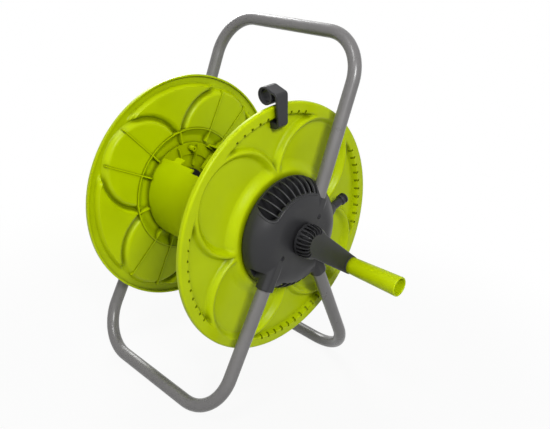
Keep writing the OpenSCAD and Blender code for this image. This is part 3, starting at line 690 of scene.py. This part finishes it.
# Drum: a tube that steps down at its ends, ribbed end rings and a window for the hose. The window's near
# and far sides are angles round the axle, its other sides are places along it
drum = {"radius": 82, "wall": 2.6, "middle": 105.4, "neck": 78.5, "end": 113.2, "ring": 58, "ringWall": 2.8,
        "ribs": 12, "ribAt": 10, "ribFoot": 40, "ribWidth": 2, "ribDeep": 5.5, "bossAt": 70, "bossWide": 4.5,
        "bossFrom": 98.4}
window = {"near": -43, "far": 26, "from": -110.3, "to": 15, "inner": 74.9, "outer": 88,
          "tongue": (-80, -62, -49, -36), "step": (-30, -8, -48, 16)}


def buildDrum():
    d, w = drum, window
    r, mid, end, ring = d["radius"], d["middle"], d["end"], d["end"] - d["ringWall"]
    outer = [(mid - 0.9, r), (mid - 0.3, r - 0.2), (mid, r - 0.8), (mid, d["neck"] + 0.4),
             (mid + 0.4, d["neck"]), (end, d["neck"])]
    inner = [(end, d["ring"]), (ring, d["ring"]), (ring, d["neck"] - d["wall"]),
             (mid - d["wall"], d["neck"] - d["wall"]), (mid - d["wall"], r - d["wall"])]
    farOuter, farInner = ([(-x, radius) for x, radius in reversed(side)] for side in (outer, inner))
    piece = meshPiece("drumCore", [turned(farOuter + outer + inner + farInner, 160, closed=True)])
    boss = moved(turned([(d["bossFrom"], 1.6), (d["bossFrom"], d["bossWide"]), (end - 0.4, d["bossWide"]),
                         (end - 0.4, 1.6)], 32, closed=True), spoke(0, d["bossAt"]))
    half = d["ribWidth"] / 2
    rib = box(ring - d["ribDeep"], ring + 1, -half, half, d["ribFoot"], d["neck"] - 0.5)
    bosses = copiesAround("bosses", [boss], "limePlastic", 6, 0, 60)
    ribs = copiesAround("ribs", [rib], "limePlastic", d["ribs"], d["ribAt"], 360 / d["ribs"])
    cutAway(piece, mirroredCopy(bosses, "farBosses"), mirroredCopy(ribs, "farRibs"), bosses, ribs,
            how="UNION")
    hole = meshPiece("window", [sector(w["near"], w["far"], w["inner"], w["outer"], w["from"], w["to"])])
    x0, x1, near, far = w["tongue"]
    cutAway(hole, meshPiece("tongue", [sector(near, far, w["inner"] - 2, w["outer"] + 2, x0, x1)]))
    x0, x1, near, far = w["step"]
    step = sector(near, far, w["inner"] + 0.1, w["outer"] - 0.1, x0, x1)
    cutAway(hole, meshPiece("step", [step]), how="UNION")
    cutAway(piece, hole)
    dressed(piece, "limePlastic", "reel", ["drum_core"], 35)


buildDrum()


# Crank: a slotted dome, a flat tapering arm and the sleeve that holds the grip
crank = {"turn": 121, "reach": 102, "foot": 161, "front": 184, "base": 6, "hub": 25, "flat": 19.5,
         "sleeve": 14.5, "armBack": 165, "sleeveEnd": 185, "wall": 2.6, "boss": 14, "bossFoot": 151.5,
         "square": 6.9, "fanCount": 11, "fanStep": 15, "fan": (15, 25.6, 2.9, 5.2), "spindle": 5.1,
         "cup": 13.6, "voxel": 0.7}


def crankDome(shrink):
    depth = crank["front"] - crank["foot"] - crank["base"]
    foot, flat = crank["hub"] - shrink, crank["flat"] - shrink
    rise = [(crank["foot"] + crank["base"] + (depth - shrink) * math.sin(math.radians(a)),
             flat + (foot - flat) * math.cos(math.radians(a))) for a in range(0, 91, 10)]
    back = crank["foot"] - (1 if shrink else 0)
    return [(back, 0), (back, foot)] + rise + [(crank["front"] - shrink, 0)]


def armOutline(wide, narrow, start, end, rounded):
    outline = [(wide, start), (-wide, start)]
    if rounded:
        return outline + arc(0, end, narrow, 180, 0, 18)
    return outline + [(-narrow, end), (narrow, end)]


def buildCrank():
    c = crank
    up = spoke(0, c["reach"])
    outline = armOutline(c["flat"], c["sleeve"], 0, c["reach"], True)
    shapes = [turned(crankDome(0)), slab(outline, c["armBack"], c["front"]),
              moved(solidRod(c["armBack"], c["sleeveEnd"], c["sleeve"]), up)]
    piece = moulded("crankArm", shapes, c["voxel"], 3)
    hollow = meshPiece("hollow", [turned(crankDome(c["wall"]))])
    pocket = armOutline(c["flat"] - 2 * c["wall"], c["sleeve"] - c["wall"], c["hub"] - 4,
                        c["reach"] - c["sleeve"], False)
    arm = meshPiece("pocket", [slab(pocket, c["armBack"] - 2, c["front"] - c["wall"])])
    slot = wedgeSlot(*c["fan"], c["foot"] + c["base"] - 1.5, c["front"] + 2)
    first = 180 - (c["fanCount"] - 1) / 2 * c["fanStep"]
    fan = copiesAround("fan", [slot], "charcoalPlastic", c["fanCount"], first, c["fanStep"])
    cutAway(piece, hollow, arm, fan)
    boss = meshPiece("boss", [solidRod(c["bossFoot"], c["front"] - 1, c["boss"])])
    cutAway(piece, boss, how="UNION")
    side = c["square"]
    square = meshPiece("square", [box(c["bossFoot"] - 1, c["front"] - 8, -side, side, -side, side)])
    back, seat, mouth = c["armBack"] - 1, grip["foot"] - 0.3, c["sleeveEnd"] + 2
    bore = turned([(back, 0), (back, c["spindle"]), (seat, c["spindle"]), (seat, c["cup"]),
                   (mouth, c["cup"] + 0.1), (mouth, 0)])
    cutAway(piece, square, meshPiece("bore", [moved(bore, up)]))
    piece.data.transform(spoke(c["turn"]))
    dressed(piece, "charcoalPlastic", "reel", ["crank_arm"], 40)


# Grip: a hollow handle that spins on the spindle
grip = {"foot": 182, "end": 274, "footRadius": 13.2, "endRadius": 15.2, "lip": 1.3, "wall": 2.6, "hub": 228}


def buildGrip():
    g = grip
    tip = arc(g["end"] - g["lip"], g["endRadius"] - g["lip"], g["lip"], 90, -90, 8)
    outer = [(g["foot"], g["footRadius"] - 0.8), (g["foot"] + 0.3, g["footRadius"] - 0.25),
             (g["foot"] + 1, g["footRadius"])]
    inner = [(g["hub"] + 1, g["footRadius"] - g["wall"] + 0.9), (g["hub"], g["footRadius"] - g["wall"]),
             (g["hub"], crank["spindle"]), (g["foot"], crank["spindle"])]
    piece = meshPiece("crankGrip", [turned(outer + tip + inner, 96, closed=True)])
    piece.data.transform(spoke(crank["turn"], crank["reach"]))
    dressed(piece, "limePlastic", "grip", ["crank_grip"], 40)


buildCrank()
buildGrip()


# Clip for the end of the hose: a strap bent over the rim, carrying a ring
clip = {"turn": -11, "width": 21.5, "thick": 4, "face": 124.3, "ringX": 100.5, "ringR": 202.5, "ring": 13,
        "bore": 9.5, "foot": 157.5, "foldR": 206, "taper": 0.2, "back": 107, "peg": 2.5, "pegAt": 163,
        "pegFrom": 102.4, "pegTo": 112, "voxel": 0.6}


def ribbon(centre, thick):
    left, right = [], []
    for i, (x, r) in enumerate(centre):
        before, after = centre[max(i - 1, 0)], centre[min(i + 1, len(centre) - 1)]
        dx, dr = after[0] - before[0], after[1] - before[1]
        length = math.hypot(dx, dr)
        left.append((x - dr / length * thick / 2, r + dx / length * thick / 2))
        right.append((x + dr / length * thick / 2, r - dx / length * thick / 2))
    return left + right[::-1]


def across(outline, width):
    verts, faces = slab([(-x, r) for x, r in outline], -width / 2, width / 2)
    return [(-y, x, z) for x, y, z in verts], faces


def buildClip():
    c = clip
    mid = c["face"] - c["thick"] / 2
    top = c["ringR"] + c["ring"] - c["thick"] / 2
    path = [(c["back"] + 1, c["foot"] + 5), (c["face"] - 9, c["foot"] + 4.2)]
    path += arc(mid - 5, c["foot"] + 9.5, 5, -70, 0) + arc(mid - 3, c["foldR"] - 1.5, 3, 0, 66, 4)
    path += [(c["ringX"] + 2, top), (c["ringX"] - 2, top)]
    ringShape = across(arc(c["ringX"], c["ringR"], c["ring"], 0, 350, 35), c["width"])
    foot = across([(c["back"], c["foot"]), (c["face"] - 6, c["foot"] + 1), (c["face"] - 3, c["foot"] + 4),
                   (c["face"] - 2, c["foot"] + 9), (c["back"], c["foot"] + 11)], c["width"])
    strap = across(ribbon(path, c["thick"]), c["width"])
    piece = moulded("hoseClip", [strap, ringShape, foot], c["voxel"], 3)
    half, bore = c["width"] / 2, c["bore"]
    profile = [(-half - 1, 0), (-half - 1, bore + 1.6), (1.5 - half, bore + 1.2), (2 - half, bore),
               (half - 2, bore), (half - 1.5, bore + 1.2), (half + 1, bore + 1.6), (half + 1, 0)]
    turnBack = Matrix.Translation((c["ringX"], 0, c["ringR"])) @ Matrix.Rotation(math.pi / 2, 4, "Z")
    cutAway(piece, meshPiece("ringBore", [moved(turned(profile, 64), turnBack)]))
    pin, tip, root = c["peg"], c["pegFrom"], c["pegTo"]
    peg = turned([(tip, 0), (tip, pin + 0.6), (tip + 0.8, pin + 1), (tip + 1.8, pin + 1), (tip + 2, pin),
                  (root, pin), (root, 0)], 32)
    cutAway(piece, meshPiece("peg", [moved(peg, spoke(0, c["pegAt"]))]), how="UNION")
    # the strap gets narrower toward its foot
    for vert in piece.data.vertices:
        share = (c["foldR"] - vert.co.z) / (c["foldR"] - c["foot"])
        vert.co.y *= 1 - c["taper"] * min(max(share, 0), 1)
    piece.data.transform(spoke(c["turn"]))
    dressed(piece, "charcoalPlastic", "reel", ["hose_clip"], 40)


buildClip()


# Hub brackets: a dome with tube sockets, grilles and, on the crank side, the water inlet
bracket = {"back": 118.5, "front": 158, "radius": 85.5, "edge": 1.5, "flat": 50, "shoulder": 32, "wall": 3,
           "socketWall": 3, "seat": 0.1, "collar": 23, "bearing": 20.1, "bearingEnd": 150.1, "crankHole": 15,
           "voxel": 1.0, "screwRadius": 3.6, "posts": 3, "postTurn": 54, "postAt": 63,
           "postRadius": 4.5}
grille = {"from": -61, "step": 8.5, "bars": 9, "to": 20.6, "inner": 67.5, "foot": 124, "bar": 2.4,
          "barDeep": 3.6, "bead": 65.6, "beadWide": 1.2, "round": 9, "roundAt": -53.3}
lowGrille = {"first": 165.5, "count": 5, "inner": 69.5, "wide": 9.2, "outerWide": 11.2, "round": 1.2}
recess = {"side": 12, "wide": 36, "from": 63.5, "deep": 16, "end": 130}
inlet = {"turn": 67, "x": 131, "side": 12.2, "neck": 92.7, "end": 122, "stem": 6.5, "collar": 8.5,
         "pipe": 5.3, "bore": 3, "spigot": 4.2,
         "boss": [(72.5, 0), (72.5, 13.2), (81, 12), (92.5, 8), (92.5, 0)]}


# Place and outward direction on the dome, from its flat front (90) to its rim (0)
def onDome(angle, shrink=0):
    b, a = bracket, math.radians(angle)
    span = b["radius"] - shrink - b["flat"]
    x = b["front"] - b["shoulder"] + (b["shoulder"] - shrink) * math.sin(a)
    normal = Vector((math.sin(a) * span, 0, math.cos(a) * b["shoulder"])).normalized()
    return (x, b["flat"] + span * math.cos(a)), normal


def domeProfile(shrink, back):
    b = bracket
    radius = b["radius"] - shrink
    return [(back, 0), (back, radius - b["edge"]), (back + 2 * b["edge"], radius)] + \
        [onDome(a, shrink)[0] for a in range(0, 91, 5)] + [(b["front"] - shrink, 0)]


def clippedRod(radius, start, end, clipAt):
    ring = [(min(radius * math.cos(math.radians(a)), clipAt), radius * math.sin(math.radians(a)))
            for a in range(0, 360, 8)]
    verts, faces = slab(ring, start, end)
    return [(y, z, x) for x, y, z in verts], faces


# Skin over rows of points, closed at both ends
def skinned(rows):
    n = len(rows[0])
    faces = [(i * n + k, i * n + (k + 1) % n, (i + 1) * n + (k + 1) % n, (i + 1) * n + k)
             for i in range(len(rows) - 1) for k in range(n)]
    verts = [v for row in rows for v in row]
    return verts, faces + [tuple(range(n)), tuple(range(len(verts) - 1, len(verts) - n - 1, -1))]


# A grille bar that follows the dome and ends low on its rim
def domeBar(width, depth):
    b = bracket
    spots = [onDome(66 - 6 * k) for k in range(12)]
    spots += [((b["front"] - b["shoulder"] - drop, b["radius"]), Vector((0, 0, 1))) for drop in (1.2, 3.4)]
    section = [(-1, -depth), (-1, -0.7), (-0.7, -0.2), (-0.3, 0), (0.3, 0), (0.7, -0.2), (1, -0.7),
               (1, -depth)]
    return skinned([[Vector((x, w * width / 2, r)) + normal * d for w, d in section]
                    for (x, r), normal in spots])


# Height of the dome at a distance from the axis
def domeHeight(r):
    b = bracket
    share = min(max((r - b["flat"]) / (b["radius"] - b["flat"]), 0), 1)
    return b["front"] - b["shoulder"] + b["shoulder"] * math.sqrt(1 - share ** 2)


# A raised bead on the dome, along the inner ends of the grille and round its first opening
def domeBead():
    g = grille
    path = []
    for k in range(33):
        t = math.radians(g["to"] - 2 + (g["roundAt"] - g["to"] + 2) * k / 32)
        path.append((g["bead"] * math.sin(t), g["bead"] * math.cos(t)))
    turnBack = math.radians(g["roundAt"])
    middle, reach = g["inner"] + g["round"], g["inner"] + g["round"] - g["bead"]
    for k in range(1, 15):
        t = math.radians(180 + 9.5 * k)
        out, along = middle + reach * math.cos(t), reach * math.sin(t)
        path.append((out * math.sin(turnBack) + along * math.cos(turnBack),
                     out * math.cos(turnBack) - along * math.sin(turnBack)))
    spots = [Vector((domeHeight(math.hypot(y, z)), y, z)) for y, z in path]
    rows = []
    for i, spot in enumerate(spots):
        ahead = (spots[min(i + 1, len(spots) - 1)] - spots[max(i - 1, 0)]).normalized()
        side = ahead.cross(Vector((1, 0, 0))).normalized()
        up = side.cross(ahead)
        rows.append([spot + (side * math.cos(t) + up * math.sin(t)) * g["beadWide"]
                     for t in (math.tau * k / 10 for k in range(10))])
    return skinned(rows)


def lowSlot():
    low, b = lowGrille, bracket
    half, outer = low["wide"] / 2, low["outerWide"] / 2
    corner = low["round"]
    outline = arc(corner - half, low["inner"] + corner, corner, 180, 270, 4) + \
        arc(half - corner, low["inner"] + corner, corner, 270, 360, 4) + \
        [(outer, b["radius"] + 6), (-outer, b["radius"] + 6)]
    return slab(outline, grille["foot"], b["front"] + 2)


# The recess beside the front leg's socket, with a wall round it
def nook(wall):
    r = recess
    shape = box(stand["across"] - r["deep"] - wall, bracket["front"] + 4, r["side"] - wall,
                r["side"] + r["wide"] + wall, r["from"] - wall, r["end"])
    return moved(shape, legMatrix(legs["front_leg_tube"]))


def keptInside(sockets):
    b = bracket
    kept = [meshPiece("kept", [shape]) for shape in sockets]
    kept.append(meshPiece("collar", [solidRod(stand["across"] - 8, b["front"] + 2, b["collar"])]))
    post = moved(solidRod(b["back"] + 3, b["front"], b["postRadius"], 32), spoke(0, b["postAt"]))
    kept.append(copiesAround("posts", [post], "charcoalPlastic", b["posts"], b["postTurn"], 120))
    kept.append(meshPiece("recessWalls", [nook(b["wall"])]))
    return kept


def boresOf(toInlet, withInlet):
    b, g, low = bracket, grille, lowGrille
    bores = []
    for leg in legs.values():
        bore = rodAlong(stand["inset"], 190, stand["tube"] + b["seat"])
        bores.append(meshPiece("bore", [moved(bore, legMatrix(leg, stand["across"]))]))
        hole = solidRod(stand["across"], b["front"] + 3, b["screwRadius"], 32)
        bores.append(meshPiece("screwHole", [moved(hole, legMatrix(leg, 0, stand["lockAt"]))]))
    middle = [(b["back"] - 2, 0), (b["back"] - 2, b["bearing"]), (b["bearingEnd"], b["bearing"])]
    if withInlet:
        middle += [(b["bearingEnd"], b["crankHole"]), (b["front"] + 3, b["crankHole"]), (b["front"] + 3, 0)]
        bores.append(meshPiece("pipe", [moved(rodAlong(0, 99, inlet["pipe"], 32), toInlet)]))
    else:
        middle += [(b["bearingEnd"], 0)]
    bores.append(meshPiece("middle", [turned(middle)]))
    opening = meshPiece("grille", [sector(g["roundAt"], g["to"] - 1, g["inner"], b["radius"] + 6, g["foot"],
                                          b["front"] + 2)])
    low0, high0 = g["foot"] + 0.1, b["front"] + 1.9
    end = moved(solidRod(low0, high0, g["round"] - 0.05, 48), spoke(g["roundAt"], g["inner"] + g["round"]))
    cutAway(opening, meshPiece("grilleEnd", [end]), how="UNION")
    bores.append(opening)
    bores.append(copiesAround("lowGrille", [lowSlot()], "charcoalPlastic", low["count"], low["first"],
                              g["step"]))
    bores.append(meshPiece("recess", [nook(0)]))
    return bores


def buildBracket(name, withInlet):
    b, n, g = bracket, inlet, grille
    radius = stand["tube"] + b["seat"] + b["socketWall"]
    sockets = [moved(clippedRod(radius, stand["inset"] - 3, leg["socket"], b["front"] - stand["across"]),
                     legMatrix(leg, stand["across"])) for leg in legs.values()]
    solids = [turned(domeProfile(0, b["back"]), 128)] + sockets
    toInlet = spoke(n["turn"]) @ Matrix.Translation((n["x"], n["side"], 0))
    if withInlet:
        solids.append(moved(alongSpoke(n["boss"]), toInlet))
    piece = moulded(name, solids, b["voxel"], 3)
    # inside, the sockets, the screw posts and the collar round the bearing stay solid
    hollow = meshPiece("hollow", [turned(domeProfile(b["wall"], b["back"] - 3), 128)])
    cutAway(hollow, *keptInside(sockets))
    cutAway(piece, hollow, *boresOf(toInlet, withInlet))
    bars = copiesAround("bars", [domeBar(g["bar"], g["barDeep"])], "charcoalPlastic", g["bars"],
                        g["from"] + g["step"], g["step"])
    bead = meshPiece("bead", [domeBead()])
    cutAway(piece, bars, bead, how="UNION")
    return piece


def buildBrackets():
    right = buildBracket("rightBracket", True)
    plain = buildBracket("leftPlain", False)
    left = mirroredCopy(plain, "leftBracket")
    bpy.data.objects.remove(plain)
    dressed(right, "charcoalPlastic", "frame", ["right_cover"], 38)
    dressed(left, "charcoalPlastic", "frame", ["left_cover"], 38)


buildBrackets()


# Nipple of the water inlet, which a hose connector clicks on to
def buildNipple():
    n = inlet
    end, collar, stem, neck = n["end"], n["collar"], n["stem"], n["neck"]
    groove, lip = collar - 2.6, collar - 0.4
    profile = [(neck - 8, n["bore"]), (neck - 8, n["spigot"]), (neck, n["spigot"]), (neck, stem),
               (end - 12, stem), (end - 10.8, collar - 0.3), (end - 10.2, collar), (end - 6.9, collar),
               (end - 6.5, lip), (end - 6.5, groove), (end - 3.5, groove), (end - 3.5, lip),
               (end - 3.1, collar), (end - 1.2, collar), (end - 0.3, collar - 0.7), (end, collar - 1.6),
               (end, n["bore"] + 0.8), (end - 0.8, n["bore"])]
    shape = turned(profile, 72, closed=True)
    piece = meshPiece("inletNipple", [moved(shape, Matrix.Rotation(-math.pi / 2, 4, "Y"))])
    piece.data.transform(spoke(n["turn"]) @ Matrix.Translation((n["x"], n["side"], 0)))
    dressed(piece, "charcoalPlastic", "frame", ["inlet_nipple"], 40)


buildNipple()


# Screws, each with a domed head and a cross recess
screw = {"head": 3.4, "dome": 1.6, "shank": 1.5, "cross": 3.6, "crossWide": 0.75, "crossDeep": 1.1,
         "long": 15, "lock": 8.1, "short": 6.6, "flangeAt": 70, "axleAt": 26}


def screwShape(name, x, length):
    s = screw
    edge = s["head"] - 0.1
    head = [(x, s["head"]), (x + s["dome"] * 0.5, edge)]
    for a in (25, 50, 70):
        t = math.radians(a)
        head.append((x + s["dome"] * (0.5 + 0.5 * math.sin(t)), edge * math.cos(t) ** 0.5))
    shank = [(x - length, 0), (x - length, s["shank"] * 0.5), (x - length + 1.6, s["shank"]), (x, s["shank"])]
    profile = shank + head + [(x + s["dome"], 0)]
    piece = meshPiece(name, [turned(profile, 36)])
    half, wide, top = s["cross"] / 2, s["crossWide"] / 2, x + s["dome"]
    cutAway(piece, meshPiece("cross", [box(top - s["crossDeep"], top + 1, -half, half, -wide, wide)]),
            meshPiece("cross", [box(top - s["crossDeep"], top + 1, -wide, wide, -half, half)]))
    return piece


def screwRing(name, x, length, count, radius, first, facing=1):
    piece = screwShape(name, 0, length)
    piece.data.transform(Matrix.Translation((x, 0, radius)) @ Matrix.Scale(facing, 4, (1, 0, 0)))
    if facing < 0:
        piece.data.flip_normals()
    setTree(piece, aroundAxle, "zinc", copyCount=count, groupCount=1, first=float(first), step=360 / count,
            groupStep=0.0)
    return evaluated(piece)


def joinedWithMirror(name, parts):
    builder = bmesh.new()
    for part in parts:
        builder.from_mesh(part.data)
        mirror = mirroredCopy(part, "mirror")
        builder.from_mesh(mirror.data)
        bpy.data.objects.remove(mirror)
        bpy.data.objects.remove(part)
    mesh = bpy.data.meshes.new(name)
    builder.to_mesh(mesh)
    builder.free()
    return linked(name, mesh)


def buildScrews():
    face, b, s = sheet["face"], bracket, screw
    rings = joinedWithMirror("flangeScrews", [screwRing("f", face, s["long"], 6, s["flangeAt"], 0)])
    dressed(rings, "zinc", "reel", ["flange_screws"], 40)
    axle = joinedWithMirror("axleScrews", [screwRing("a", face, s["short"], 4, s["axleAt"], 0)])
    dressed(axle, "zinc", "reel", ["axle_screws"], 40)
    sunk, length = b["back"] + s["dome"], s["long"] - s["dome"]
    back = joinedWithMirror("coverScrews", [screwRing("c", sunk, length, b["posts"], b["postAt"],
                                                      b["postTurn"], -1)])
    dressed(back, "zinc", "frame", ["cover_screws"], 40)
    locks = []
    for leg in legs.values():
        lock = screwShape("lock", stand["across"] + stand["tube"] + b["seat"], s["lock"])
        lock.data.transform(legMatrix(leg, 0, stand["lockAt"]))
        locks.append(lock)
    dressed(joinedWithMirror("tubeScrews", locks), "blackZinc", "frame", ["tube_screws"], 40)


buildScrews()


# The solids that show as they are get the finishes too
keptNodes = {"water_axle": "charcoalPlastic", "stub_axle": "charcoalPlastic", "axle_seals": "rubber",
             "outlet_elbow": "charcoalPlastic", "outlet_nut": "charcoalPlastic", "crank_pin": "zinc",
             "grip_spindle": "zinc", "grip_retainer": "zinc", "right_plate": "charcoalPlastic",
             "left_plate": "charcoalPlastic", "right_bush": "acetal", "left_bush": "acetal",
             "inlet_manifold": "charcoalPlastic", "nipple_seal": "rubber", "left_bearing": "charcoalPlastic"}
for node, finish in keptNodes.items():
    solid = nodes[node]
    for place in solid.material_slots:
        place.material = materials[finish]
print("carried nodes:", len(keptNodes))
